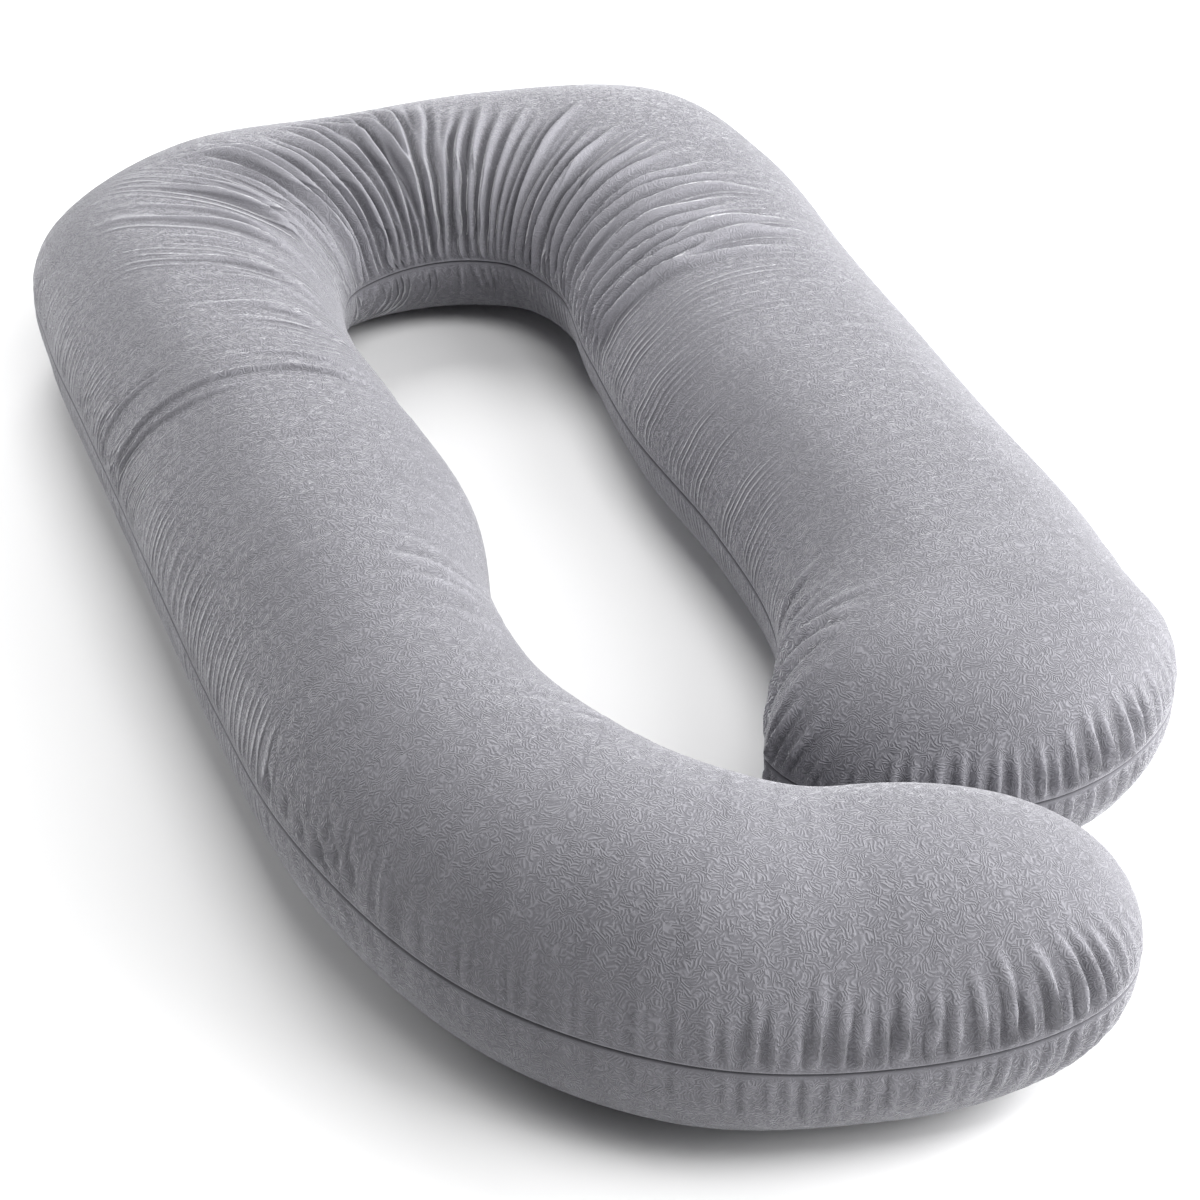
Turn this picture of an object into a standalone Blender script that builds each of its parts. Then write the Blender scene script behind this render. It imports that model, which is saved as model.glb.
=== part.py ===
"""Body pillow: one long, plump, velvet covered cushion bent round into an open loop.

The cover is two panels, upper and lower, joined by one seam that runs all round at half height.
The left arm ends in a hook that curls across to the right arm's blunt end. The fabric is drawn
into gathers round the inside of the closed bend and along the seam at both ends.

Origin: on the floor, at the middle of the outline. +Y runs up the arms to the closed bend, +X from
the left arm to the right arm, +Z up. Metres.
"""

from collections import namedtuple

import bpy
import numpy as np

PILLOW = "body_pillow"
VELVET_GREY = (0.30, 0.296, 0.325, 1.0)
VELVET_ROUGHNESS = 0.85

# Cross-sections down the length, from the hook's tip, up the left arm, round the closed bend and
# down the right arm. x, y: middle of the section. half_width: from there to the seam. crown:
# height of the top. heading: direction of the length, in degrees anticlockwise from +X.
# outer_lift, inner_lift: how much higher than its share of the crown each side's seam runs.
Section = namedtuple("Section", "x y half_width crown heading outer_lift inner_lift")
SECTIONS = (
    Section(-0.015, -0.605, 0.115, 0.210, 168, -0.001, 0.000),
    Section(-0.115, -0.570, 0.120, 0.225, 148, 0.003, 0.000),
    Section(-0.195, -0.480, 0.120, 0.230, 126, 0.002, 0.000),
    Section(-0.245, -0.345, 0.115, 0.230, 102, 0.005, 0.000),
    Section(-0.255, -0.195, 0.115, 0.235, 90, -0.010, 0.000),
    Section(-0.245, -0.040, 0.135, 0.230, 84, 0.007, 0.000),
    Section(-0.250, 0.110, 0.130, 0.225, 90, 0.001, 0.000),
    Section(-0.255, 0.250, 0.130, 0.215, 86, 0.009, 0.000),
    Section(-0.250, 0.380, 0.140, 0.205, 76, 0.008, 0.000),
    Section(-0.225, 0.500, 0.155, 0.190, 62, 0.003, -0.002),
    Section(-0.140, 0.580, 0.140, 0.185, 32, 0.000, -0.010),
    Section(-0.020, 0.600, 0.125, 0.175, 4, 0.000, -0.001),
    Section(0.100, 0.590, 0.140, 0.180, -24, 0.000, 0.002),
    Section(0.210, 0.535, 0.165, 0.190, -50, 0.000, 0.000),
    Section(0.245, 0.410, 0.150, 0.190, -68, 0.000, -0.001),
    Section(0.235, 0.260, 0.140, 0.190, -86, 0.000, -0.006),
    Section(0.230, 0.100, 0.145, 0.190, -90, 0.000, -0.004),
    Section(0.230, -0.070, 0.135, 0.195, -88, 0.000, -0.004),
    Section(0.225, -0.230, 0.145, 0.200, -86, 0.000, 0.000),
    Section(0.185, -0.370, 0.175, 0.205, -86, 0.000, 0.000),
)
LAST_ROW = len(SECTIONS) - 1
# Unbuilt sections past the two ends, which only steer the curve so that it meets the ends smoothly.
BEFORE_HOOK = Section(0.092, -0.614, 0.120, 0.225, 188, 0.003, 0.000)
BEYOND_ARM = Section(0.185, -0.510, 0.205, 0.200, -86, 0.000, 0.000)

# The rounded ends: length past the last section, and the outline's exponent (2 is an ellipse).
HOOK_END_LENGTH = 0.20
HOOK_END_SQUARENESS = 2.2
ARM_END_LENGTH = 0.13
ARM_END_SQUARENESS = 2.0

# Half a cross-section: a superellipse over and under the seam, pressed flat where it rests.
SEAM_SHARE = 0.47
UPPER_SQUARENESS = 2.3
LOWER_SQUARENESS = 2.5
PRESSED_SHARE = 0.04
UPPER_ANGLES = (90, 81, 71, 60, 48, 35, 21, 6)
LOWER_SHARES = (0.08, 0.32, 0.65)
SEAM_DEPTH = 0.004

# Single gathers, in order down the length. Their paths are rows of SECTIONS at five angles round
# the section: the inner seam, the inner flank, the crown, the outer flank and the outer seam. A
# gather without an outer path keeps its crown row there. height: from the plain form to the
# ridge, in millimetres. start, reach: where it begins and how far it climbs, in degrees from the
# inner seam.
PATH_ANGLES = (0, 45, 90, 135, 180)
Gather = namedtuple(
    "Gather", "inner_seam inner_flank crown height start reach outer_flank outer_seam", defaults=(None, None)
)
GATHERS = (
    # creases over the left arm
    Gather(5.55, 5.68, 5.92, 3.5, 30, 200, 6.03, 6.25),
    Gather(5.85, 6.32, 6.86, 2.5, 40, 100),
    Gather(6.70, 7.15, 7.68, 3.0, 34, 105),
    # left corner of the bend
    Gather(7.35, 7.92, 8.44, 3.5, 26, 105),
    Gather(8.30, 8.56, 9.10, 4.5, 0, 105),
    Gather(8.80, 8.82, 9.29, 3.0, 12, 105),
    Gather(9.15, 9.34, 9.66, 2.5, 0, 105),
    # top of the bend
    Gather(9.95, 9.71, 9.83, 5.0, 0, 120),
    Gather(10.17, 9.96, 10.00, 3.5, 0, 118),
    Gather(10.38, 10.17, 10.20, 4.5, 0, 105),
    Gather(10.53, 10.37, 10.33, 3.0, 0, 108),
    Gather(10.69, 10.55, 10.48, 5.0, 0, 108),
    Gather(10.82, 10.72, 10.62, 3.5, 0, 120),
    Gather(10.94, 10.84, 10.81, 4.0, 0, 105),
    Gather(11.06, 10.99, 10.96, 4.5, 0, 125),
    Gather(11.18, 11.10, 11.10, 3.5, 0, 100),
    Gather(11.33, 11.26, 11.29, 5.0, 0, 125),
    Gather(11.50, 11.45, 11.50, 4.0, 0, 118),
    Gather(11.65, 11.66, 11.72, 3.5, 0, 105),
    Gather(11.88, 11.82, 11.87, 4.0, 0, 105),
    Gather(12.10, 12.03, 12.01, 3.5, 0, 105),
    Gather(12.27, 12.20, 12.18, 3.5, 0, 102),
    Gather(12.45, 12.39, 12.36, 3.5, 0, 100),
    Gather(12.62, 12.55, 12.52, 2.5, 0, 96),
    Gather(12.86, 12.84, 12.76, 4.0, 0, 104),
    Gather(13.04, 13.01, 12.98, 2.5, 0, 85),
    Gather(13.21, 13.17, 13.13, 3.5, 0, 92),
    Gather(13.40, 13.36, 13.31, 5.0, 0, 94),
    Gather(13.57, 13.53, 13.50, 3.0, 0, 84),
    Gather(13.74, 13.69, 13.67, 4.0, 0, 96),
    Gather(13.87, 13.86, 13.88, 4.0, 0, 98),
    # right corner of the bend
    Gather(14.03, 14.03, 14.12, 4.0, 0, 102),
    Gather(14.16, 14.17, 14.30, 4.0, 0, 112),
    Gather(14.29, 14.32, 14.46, 4.0, 0, 130),
    Gather(14.48, 14.50, 14.62, 4.0, 0, 100),
    Gather(14.66, 14.68, 14.76, 4.0, 0, 102),
    Gather(14.83, 14.87, 14.92, 4.0, 0, 120),
    Gather(14.99, 15.03, 15.05, 4.5, 0, 140),
    Gather(15.19, 15.23, 15.20, 4.0, 0, 100),
    # inner side of the right arm, by its end
    Gather(18.02, 18.06, 18.15, 2.5, 0, 55),
    Gather(18.26, 18.32, 18.36, 2.5, 0, 60),
    Gather(18.46, 18.53, 18.60, 2.5, 0, 75),
    Gather(18.66, 18.68, 18.78, 3.5, 0, 70),
    Gather(18.84, 18.84, 18.90, 3.5, 0, 66),
)
# The arm's last section carries no gather.
PLAIN_CLOSING = Gather(LAST_ROW, LAST_ROW, LAST_ROW, 0.0, 0, 45)
# Between two gathers the cloth sinks to this share of their height.
VALLEY_SHARE = 0.5
# On an open stretch of the crown the sections stand no further apart than this, in rows.
PLAIN_STEP = 0.17
# Gathers that run together stay this far apart, in rows.
LEAST_STEP = 0.035

# Even gathers between the single ones. first, last: rows of SECTIONS. folds: ridges in the
# stretch. outer, inner: ridge heights beside each seam, in millimetres. reach: in degrees.
Stretch = namedtuple("Stretch", "first last folds outer inner reach")
STRETCHES = (
    Stretch(0.0, 1.1, 7, 2.5, 1.0, 30),
    Stretch(1.1, 2.6, 5, 1.0, 1.0, 28),
    Stretch(2.6, 5.4, 11, 1.5, 1.0, 30),
    Stretch(15.35, 17.90, 9, 1.2, 1.5, 36),
)
# Along the outer seam beside the single gathers.
OUTER_EDGE_HEIGHT = 1.2
OUTER_EDGE_REACH = 30

# Gathers fanned round the two rounded ends. first, last: degrees round the end from straight
# ahead, with 90 at the outer seam and -90 at the inner seam. height: in millimetres.
EndStretch = namedtuple("EndStretch", "first last folds height reach")
HOOK_END_STRETCHES = (
    EndStretch(12, 90, 12, 4.2, 40),
    EndStretch(-90, 12, 7, 1.0, 32),
)
ARM_END_STRETCHES = (
    EndStretch(-46, 90, 20, 4.0, 44),
    EndStretch(-66, -46, 2, 1.0, 30),
    EndStretch(-90, -66, 3, 3.5, 42),
)

# Under the seam the gathers are lower and shorter.
UNDER_SEAM_SHARE = 0.6
UNDER_SEAM_REACH = 36
# A gather rises from nothing at its start to its full height over this many degrees.
FOLD_START = 14

GOLDEN = 0.618034
FOLD_HEIGHT_SPREAD = 0.6
FOLD_REACH_SPREAD = 0.3
MILLIMETRE = 0.001


def smooth_step(low, high, value):
    share = np.clip((value - low) / (high - low), 0, 1)
    return share * share * (3 - 2 * share)


def sections_at(rows):
    """The table's columns on a smooth (Catmull-Rom) curve through its rows, at fractions of rows."""
    table = np.array(SECTIONS, float)
    steered = np.vstack([BEFORE_HOOK, table, BEYOND_ARM])
    start = np.clip(np.floor(rows).astype(int), 0, LAST_ROW - 1)
    share = (rows - start)[..., None]
    before, here, after, beyond = (steered[start + step] for step in range(4))
    bend = 2 * before - 5 * here + 4 * after - beyond
    rest = 3 * here - before - 3 * after + beyond
    return here + 0.5 * ((after - before) * share + bend * share**2 + rest * share**3)


def spread(index, amount):
    """An uneven but fixed factor for each fold, from 1 - amount / 2 to 1 + amount / 2."""
    return 1 + amount * ((index * GOLDEN) % 1 - 0.5)


def half_profile():
    """Angles down half a section, from the crown's middle round the seam to the floor's middle."""
    pressed = np.degrees(np.arcsin((1 + PRESSED_SHARE) ** (-LOWER_SQUARENESS / 2)))
    lower = [-pressed * share for share in LOWER_SHARES]
    return np.array([*UPPER_ANGLES, 0, *lower, -pressed, -90])


ANGLES = half_profile()
SEAM_INDEX = len(UPPER_ANGLES)
FLOOR_INDEX = len(ANGLES) - 2


def fade(start, reach, angles):
    """How much of a fold's height is left at angles measured from its seam."""
    above = smooth_step(start, start + FOLD_START, angles) * (1 - smooth_step(0.6 * reach, reach, angles))
    if start > 0:
        return above
    below = smooth_step(0, FOLD_START, -angles) * (1 - smooth_step(0, UNDER_SEAM_REACH, -angles))
    return above + UNDER_SEAM_SHARE * below


# A column of the mesh: a section whose row drifts round it along its gather's path, with the height,
# start and reach of its ridge (or, below nothing, its valley) from each seam.
Column = namedtuple("Column", "path inner start inner_reach outer outer_reach")


def gather_path(gather):
    outer_flank = gather.crown if gather.outer_flank is None else gather.outer_flank
    outer_seam = gather.crown if gather.outer_seam is None else gather.outer_seam
    return np.array([gather.inner_seam, gather.inner_flank, gather.crown, outer_flank, outer_seam])


def even_columns(stretch):
    """Ridges and valleys in turn, evenly spaced."""
    rows = np.linspace(stretch.first, stretch.last, 2 * stretch.folds, endpoint=False)
    for index, row in enumerate(rows):
        size = spread(index, FOLD_HEIGHT_SPREAD) * (1 if index % 2 == 0 else -VALLEY_SHARE)
        reach = stretch.reach * spread(index // 2, FOLD_REACH_SPREAD)
        path = np.full(len(PATH_ANGLES), row)
        yield Column(path, size * stretch.inner, 0, reach, size * stretch.outer, reach)


def columns_between(first, second):
    """The valley between two near gathers, or their two feet with plain columns between them."""
    start, end = gather_path(first), gather_path(second)
    number = max(1, round((second.crown - first.crown) / PLAIN_STEP))
    for step in range(1, number + 1):
        path = start + (end - start) * step / (number + 1)
        if number == 1:
            height = -VALLEY_SHARE * 0.5 * (first.height + second.height)
        elif step == 1:
            height = -VALLEY_SHARE * first.height
        elif step == number:
            height = -VALLEY_SHARE * second.height
        else:
            height = 0.0
        begin, reach = max(first.start, second.start), min(first.reach, second.reach)
        yield Column(path, height, begin, reach, -OUTER_EDGE_HEIGHT, OUTER_EDGE_REACH)


def gathered_columns(gathers):
    for gather, following in zip(gathers, [*gathers[1:], None]):
        path = gather_path(gather)
        yield Column(path, gather.height, gather.start, gather.reach, OUTER_EDGE_HEIGHT, OUTER_EDGE_REACH)
        if following is not None:
            yield from columns_between(gather, following)


def body_columns():
    """All columns of the body, from the hook's end to the arm's end."""
    *left_arm, right_arm = STRETCHES
    columns = []
    for stretch in left_arm:
        columns += even_columns(stretch)
    columns += gathered_columns([gather for gather in GATHERS if gather.crown < right_arm.first])
    columns += even_columns(right_arm)
    columns += gathered_columns([gather for gather in GATHERS if gather.crown > right_arm.last])
    columns += gathered_columns([PLAIN_CLOSING])
    return columns


def parted(paths):
    """The paths with none nearer to the one before it than the least step, up to the last row."""
    paths = paths.copy()
    for index in range(1, len(paths)):
        paths[index] = np.maximum(paths[index], paths[index - 1] + LEAST_STEP)
    return paths * LAST_ROW / paths[-1]


def shell_points(middle, edge, crown, lift, heights):
    """Points of half sections, each from over its middle, out to its edge, and back under."""
    radians = np.radians(ANGLES)
    squareness = np.where(ANGLES >= 0, UPPER_SQUARENESS, LOWER_SQUARENESS)
    out = np.clip(np.cos(radians), 0, 1) ** (2 / squareness)
    rise = np.sign(ANGLES) * np.abs(np.sin(radians)) ** (2 / squareness)
    seam_height = SEAM_SHARE * crown + lift
    tall = np.where(ANGLES >= 0, crown - seam_height, (1 + PRESSED_SHARE) * seam_height)
    span = np.linalg.norm(edge, axis=-1)

    across = span * out + MILLIMETRE * heights * np.cos(radians)
    across[:, SEAM_INDEX] -= SEAM_DEPTH
    up = seam_height + tall * rise + MILLIMETRE * heights * np.sin(radians)
    up[:, FLOOR_INDEX:] = 0
    flat = middle + across[..., None] * edge / span[..., None]
    return np.concatenate([flat, np.maximum(up, 0)[..., None]], axis=-1)


def body_halves(columns, side):
    """Half sections of one side of the body: 1 for the outer side, -1 for the inner side."""
    paths = parted(np.array([column.path for column in columns]))
    round_angles = ANGLES if side < 0 else 180 - ANGLES
    rows = np.array([np.interp(round_angles, PATH_ANGLES, path) for path in paths])
    body = Section(*np.moveaxis(sections_at(rows), -1, 0))
    heading = np.radians(body.heading)
    middle = np.stack([body.x, body.y], axis=-1)
    across = side * body.half_width[..., None] * np.stack([-np.sin(heading), np.cos(heading)], axis=-1)
    lift = body.outer_lift if side > 0 else body.inner_lift
    heights = np.array([
        column.inner * fade(column.start, column.inner_reach, round_angles)
        + column.outer * fade(0, column.outer_reach, 180 - round_angles)
        for column in columns
    ])
    return shell_points(middle, across, body.crown, lift, heights)


def end_halves(row, length, squareness, forward, stretches):
    """Half sections fanned round a rounded end, from the outer edge to the inner edge."""
    section = SECTIONS[row]
    heading = np.radians(section.heading)
    ahead = np.array([np.cos(heading), np.sin(heading)])
    aside = np.array([-ahead[1], ahead[0]])
    halves = []
    for stretch in stretches:
        steps = 2 * stretch.folds
        turns = np.linspace(stretch.last, stretch.first, steps, endpoint=False)
        for index, degrees in enumerate(turns):
            if degrees == 90:
                continue  # the body's own last column stands there
            turn = np.radians(degrees)
            reach = forward * length * np.cos(turn) ** (2 / squareness)
            across = np.sign(turn) * section.half_width * np.abs(np.sin(turn)) ** (2 / squareness)
            size = spread(index, FOLD_HEIGHT_SPREAD) * (1 if index % 2 == 0 else -VALLEY_SHARE)
            heights = size * stretch.height * fade(0, stretch.reach, ANGLES)
            middle = np.tile([section.x, section.y], (1, len(ANGLES), 1))
            edge = np.tile(reach * ahead + across * aside, (1, len(ANGLES), 1))
            share = (degrees + 90) / 180
            lift = section.inner_lift + (section.outer_lift - section.inner_lift) * share
            halves.append(shell_points(middle, edge, section.crown, lift, heights[None, :])[0])
    return halves


def pillow_mesh():
    """The closed shell: rings of quads down the body, and a dome of half sections at each end."""
    columns = body_columns()
    last = FLOOR_INDEX + 1
    points, faces = [], []

    def add(half, top, bottom):
        """Adds the points of a half section between two shared middle points."""
        start = len(points)
        points.extend(half[1:last])
        return [top, *range(start, len(points)), bottom]

    def join(left, right):
        """Quads between two half sections, and triangles where they share a middle point."""
        for step in range(last):
            loop = [right[step], right[step + 1], left[step + 1], left[step]]
            faces.append(list(dict.fromkeys(loop)))

    outer_side, inner_side = [], []
    for outer, inner in zip(body_halves(columns, 1), body_halves(columns, -1)):
        points.append(0.5 * (outer[0] + inner[0]))
        points.append(0.5 * (outer[last] + inner[last]))
        top, bottom = len(points) - 2, len(points) - 1
        outer_side.append(add(outer, top, bottom))
        inner_side.append(add(inner, top, bottom))

    arm_end = end_halves(-1, ARM_END_LENGTH, ARM_END_SQUARENESS, 1, ARM_END_STRETCHES)
    hook_end = end_halves(0, HOOK_END_LENGTH, HOOK_END_SQUARENESS, -1, HOOK_END_STRETCHES)
    arm_top, arm_bottom = outer_side[-1][0], outer_side[-1][-1]
    hook_top, hook_bottom = outer_side[0][0], outer_side[0][-1]
    loop = list(outer_side)
    loop += [add(half, arm_top, arm_bottom) for half in arm_end]
    loop += inner_side[::-1]
    loop += [add(half, hook_top, hook_bottom) for half in hook_end[::-1]]
    for here, ahead in zip(loop, loop[1:] + loop[:1]):
        join(here, ahead)
    return points, faces


def velvet():
    material = bpy.data.materials.new("velvet_cover")
    material.use_nodes = True
    shader = material.node_tree.nodes["Principled BSDF"]
    shader.inputs["Base Color"].default_value = VELVET_GREY
    shader.inputs["Roughness"].default_value = VELVET_ROUGHNESS
    shader.inputs["Metallic"].default_value = 0.0
    return material


def main():
    for leftover in list(bpy.data.objects):
        bpy.data.objects.remove(leftover)
    points, faces = pillow_mesh()
    mesh = bpy.data.meshes.new(PILLOW)
    mesh.from_pydata([tuple(point) for point in points], [], faces)
    mesh.materials.append(velvet())
    mesh.shade_smooth()
    pillow = bpy.data.objects.new(PILLOW, mesh)
    bpy.context.collection.objects.link(pillow)


main()
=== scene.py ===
"""A filled velvet body pillow on a pale studio floor.

The cover is worked out on half sections, each from the crown out over the seam and back under the
pillow. The plain form takes a slight unevenness from a short cloth run with air pressure, and the
seam, the gathers and the puckers are drawn into it. Metres, +Z up, the closed bend towards +Y.
"""
from collections import namedtuple

import bpy
import numpy as np
from mathutils import Matrix, Vector


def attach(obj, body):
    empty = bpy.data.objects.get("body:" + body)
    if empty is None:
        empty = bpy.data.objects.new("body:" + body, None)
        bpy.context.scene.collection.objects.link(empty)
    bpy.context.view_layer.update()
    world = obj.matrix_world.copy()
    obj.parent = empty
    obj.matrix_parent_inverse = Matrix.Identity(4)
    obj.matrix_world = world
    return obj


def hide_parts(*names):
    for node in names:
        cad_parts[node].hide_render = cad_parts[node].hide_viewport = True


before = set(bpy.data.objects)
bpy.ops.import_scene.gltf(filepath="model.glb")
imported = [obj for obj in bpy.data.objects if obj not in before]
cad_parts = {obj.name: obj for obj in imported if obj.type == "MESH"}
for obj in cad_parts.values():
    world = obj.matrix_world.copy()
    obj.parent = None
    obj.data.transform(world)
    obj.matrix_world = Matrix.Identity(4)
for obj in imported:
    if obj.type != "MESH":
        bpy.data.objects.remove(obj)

bpy.ops.object.select_all(action="DESELECT")
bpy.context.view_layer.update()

# ------------ sizes of the pillow's form
Section = namedtuple("Section", "x y half_width crown heading outer_lift inner_lift", defaults=(0, 0))
SECTIONS = [Section(*row) for row in (
    # hook's tip, then up the left arm
    (-0.015, -0.605, 0.115, 0.21, 168, -0.001),
    (-0.115, -0.57, 0.12, 0.225, 148, 0.003),
    (-0.195, -0.48, 0.12, 0.23, 126, 0.002),
    (-0.245, -0.345, 0.115, 0.23, 102, 0.005),
    (-0.255, -0.195, 0.115, 0.235, 90, -0.01),
    (-0.245, -0.04, 0.135, 0.23, 84, 0.007),
    (-0.25, 0.11, 0.13, 0.225, 90, 0.001),
    (-0.255, 0.25, 0.13, 0.215, 86, 0.009),
    (-0.25, 0.38, 0.14, 0.205, 76, 0.008),
    # round the closed bend
    (-0.225, 0.5, 0.155, 0.19, 62, 0.003, -0.002),
    (-0.14, 0.58, 0.14, 0.185, 32, 0, -0.01),
    (-0.02, 0.6, 0.125, 0.175, 4, 0, -0.001),
    (0.1, 0.59, 0.14, 0.18, -24, 0, 0.002),
    (0.21, 0.535, 0.165, 0.19, -50),
    (0.2465, 0.41, 0.1515, 0.19, -68, 0, -0.001),
    # down the right arm to its blunt end
    (0.239, 0.26, 0.144, 0.19, -86, 0, -0.006),
    (0.233, 0.1, 0.148, 0.19, -90, 0, -0.004),
    (0.235, -0.07, 0.14, 0.195, -88, 0, -0.004),
    (0.2275, -0.23, 0.1475, 0.2, -86),
    (0.1885, -0.37, 0.1785, 0.205, -86),
)]
LAST_ROW = len(SECTIONS) - 1
# Unbuilt sections past the two ends, which steer the curve smoothly into them.
BEFORE_HOOK = Section(0.092, -0.614, 0.120, 0.225, 188, 0.003)
BEYOND_ARM = Section(0.185, -0.510, 0.205, 0.200, -86)
# Length of each rounded end, and how square it is on its outer and on its inner side.
HOOK_END_LENGTH = 0.204
HOOK_END_SQUARENESS = (2.2, 2.2)
ARM_END_LENGTH = 0.13
ARM_END_SQUARENESS = (1.80, 1.92)
# Half a section: a superellipse over and under the seam, pressed flat where it rests.
SEAM_SHARE = 0.47
UPPER_SQUARENESS = 2.3
LOWER_SQUARENESS = 2.5
PRESSED_SHARE = 0.04

# How finely the cover is divided: (first row, last row, columns) along the body, and the steps
# round a section (the one beside the seam, the growth of the next ones, the largest).
BODY_STRETCHES = (
    (0, 2, 70), (2, 5.5, 100), (5.5, 6.3, 78), (6.3, 8.2, 70),
    (8.2, 15.4, 372), (15.4, 16.3, 50), (16.3, 17.9, 75), (17.9, 19, 55),
)
END_COLUMNS = 168
UPPER_STEPS = (0.0008, 1.19, 0.0080)
LOWER_STEPS = (0.0008, 1.38, 0.020)
# A usual half width, and usual heights over and under the seam, by which the steps are measured.
USUAL_SECTION = (0.14, 0.11, 0.10)
END_ROWS = 4.0

# ------------ seam, gathers and puckers
SEAM_PINCH = 0.0007
SEAM_PINCH_WIDTH = 0.006
SEAM_GROOVE = 0.0016
SEAM_GROOVE_WIDTH = 0.0008
# SEAM_LINE_WIDTH: width of the painted shade along the seam's groove, and of the painted highlight on
# its rolled edge.
SEAM_LINE_WIDTH = 0.0007
# SEAM_EDGE_OFFSET: place of the painted highlight on the rolled edge above the seam.
SEAM_EDGE_OFFSET = 0.0021
PRESSED_PILE_WIDTH = 0.004
ROLLED_EDGE = 0.0006
ROLLED_EDGE_OFFSET = 0.0020
ROLLED_EDGE_WIDTH = 0.0011
# The folds fade out where the cover rests, and are whole from this height up.
CLEAR_OF_FLOOR = 0.03

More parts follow.
